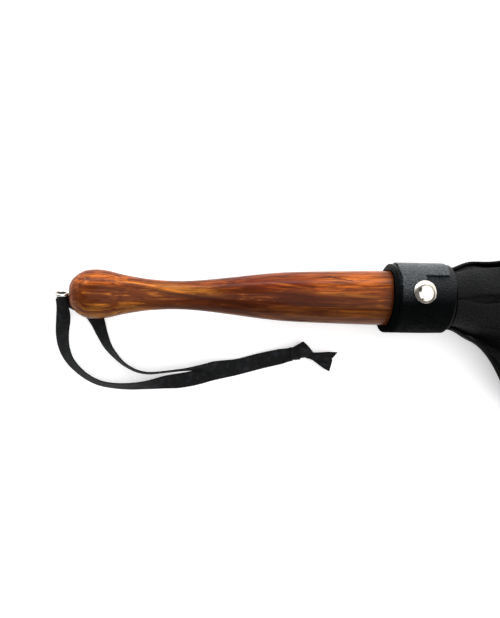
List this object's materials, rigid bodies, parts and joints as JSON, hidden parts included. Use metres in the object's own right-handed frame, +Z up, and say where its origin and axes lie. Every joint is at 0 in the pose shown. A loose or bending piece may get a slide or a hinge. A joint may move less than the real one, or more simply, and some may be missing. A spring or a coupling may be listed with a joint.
{
  "type": "fly whisk",
  "caption": "Leather fly whisk: turned wooden handle, riveted leather keeper, long flat leather falls and a knotted tape wrist loop on a screw eye.",
  "frame": {"origin": "middle of the footprint of the handle and the lash, on the surface the whisk lies on", "axes": "+X along the handle from the butt to the falls, +Z up from the surface"},
  "size_m": [0.4741, 0.1238, 0.0409],
  "materials": {
    "wood": "varnished rosewood, dark streaks along the handle",
    "leather": "black pebble grain, soft sheen",
    "chrome": "polished",
    "steel": "plain bright nail steel",
    "tape": "flat woven black tape"
  },
  "bodies": {
    "handle": {"handle_wood": "wood", "hide_wrap_inner": "leather", "hide_wrap_outer": "leather", "hide_tack_1": "steel", "hide_tack_2": "steel", "hide_tack_3": "steel", "keeper": "leather", "keeper_flap": "leather", "rivet_cap": "chrome", "rivet_nail": "steel", "fall_01_root": "leather", "fall_02_root": "leather", "fall_03_root": "leather", "fall_04_root": "leather", "fall_05_root": "leather", "fall_06_root": "leather", "fall_07_root": "leather", "fall_08_root": "leather", "fall_09_root": "leather", "fall_10_root": "leather"},
    "wrist_loop": {"screw_eye": "chrome", "loop_bight": "tape", "loop_leg_a": "tape", "loop_leg_b": "tape", "loop_knot": "tape", "loop_tail_upper": "tape", "loop_tail_lower": "tape"},
    "lash": {"fall_01": "leather", "fall_02": "leather", "fall_03": "leather", "fall_04_middle": "leather", "fall_05_middle": "leather", "fall_06_middle": "leather", "fall_07_middle": "leather", "fall_08_middle": "leather", "fall_09_middle": "leather", "fall_10_middle": "leather"},
    "fall_10": {"fall_10": "leather"},
    "fall_09": {"fall_09": "leather"},
    "fall_08": {"fall_08": "leather"},
    "fall_07": {"fall_07": "leather"},
    "fall_06": {"fall_06": "leather"},
    "fall_05": {"fall_05": "leather"},
    "fall_04": {"fall_04": "leather"}
  },
  "joints": [
    {"name": "lash_flex", "type": "hinge", "parent": "handle", "child": "lash", "pos_m": [0.01663, 0.03834, 0.012], "axis": [0, -1, 0], "range_deg": [-55, 55]},
    {"name": "wrist_loop_swivel", "type": "hinge", "parent": "handle", "child": "wrist_loop", "pos_m": [-0.22937, 0.03834, 0.01337], "axis": [0.9996, 0, 0.0298], "range_deg": [-90, 90]},
    {"name": "falls_spread", "type": "hinge", "parent": "lash", "child": "fall_10", "pos_m": [0.06287, 0.04764, 0.01161], "axis": [-0.043, -0.9991, 0], "range_deg": [0, 30]},
    {"name": "fall_09_lift", "type": "hinge", "parent": "lash", "child": "fall_09", "pos_m": [0.06311, 0.03224, 0.00946], "axis": [-0.0525, -0.9986, 0], "range_deg": [0, 24.1]},
    {"name": "fall_08_lift", "type": "hinge", "parent": "lash", "child": "fall_08", "pos_m": [0.0627, 0.03217, 0.00765], "axis": [-0.1155, -0.9933, 0], "range_deg": [0, 18.1]},
    {"name": "fall_07_lift", "type": "hinge", "parent": "lash", "child": "fall_07", "pos_m": [0.0629, 0.00228, 0.0059], "axis": [-0.2094, -0.9778, 0], "range_deg": [0, 12.1]},
    {"name": "fall_06_lift", "type": "hinge", "parent": "lash", "child": "fall_06", "pos_m": [0.06269, 0.04342, 0.0059], "axis": [-0.1749, -0.9846, 0], "range_deg": [0, 12.1]},
    {"name": "fall_05_lift", "type": "hinge", "parent": "lash", "child": "fall_05", "pos_m": [0.06302, -0.04262, 0.00415], "axis": [-0.3314, -0.9435, 0], "range_deg": [0, 6]},
    {"name": "fall_04_lift", "type": "hinge", "parent": "lash", "child": "fall_04", "pos_m": [0.06279, 0.05185, 0.00415], "axis": [-0.0814, -0.9967, 0], "range_deg": [0, 6]}
  ],
  "couplings": [
    {"joint": "fall_09_lift", "follows": "falls_spread", "ratio": 0.8},
    {"joint": "fall_08_lift", "follows": "falls_spread", "ratio": 0.6},
    {"joint": "fall_07_lift", "follows": "falls_spread", "ratio": 0.4},
    {"joint": "fall_06_lift", "follows": "falls_spread", "ratio": 0.4},
    {"joint": "fall_05_lift", "follows": "falls_spread", "ratio": 0.2},
    {"joint": "fall_04_lift", "follows": "falls_spread", "ratio": 0.2}
  ]
}
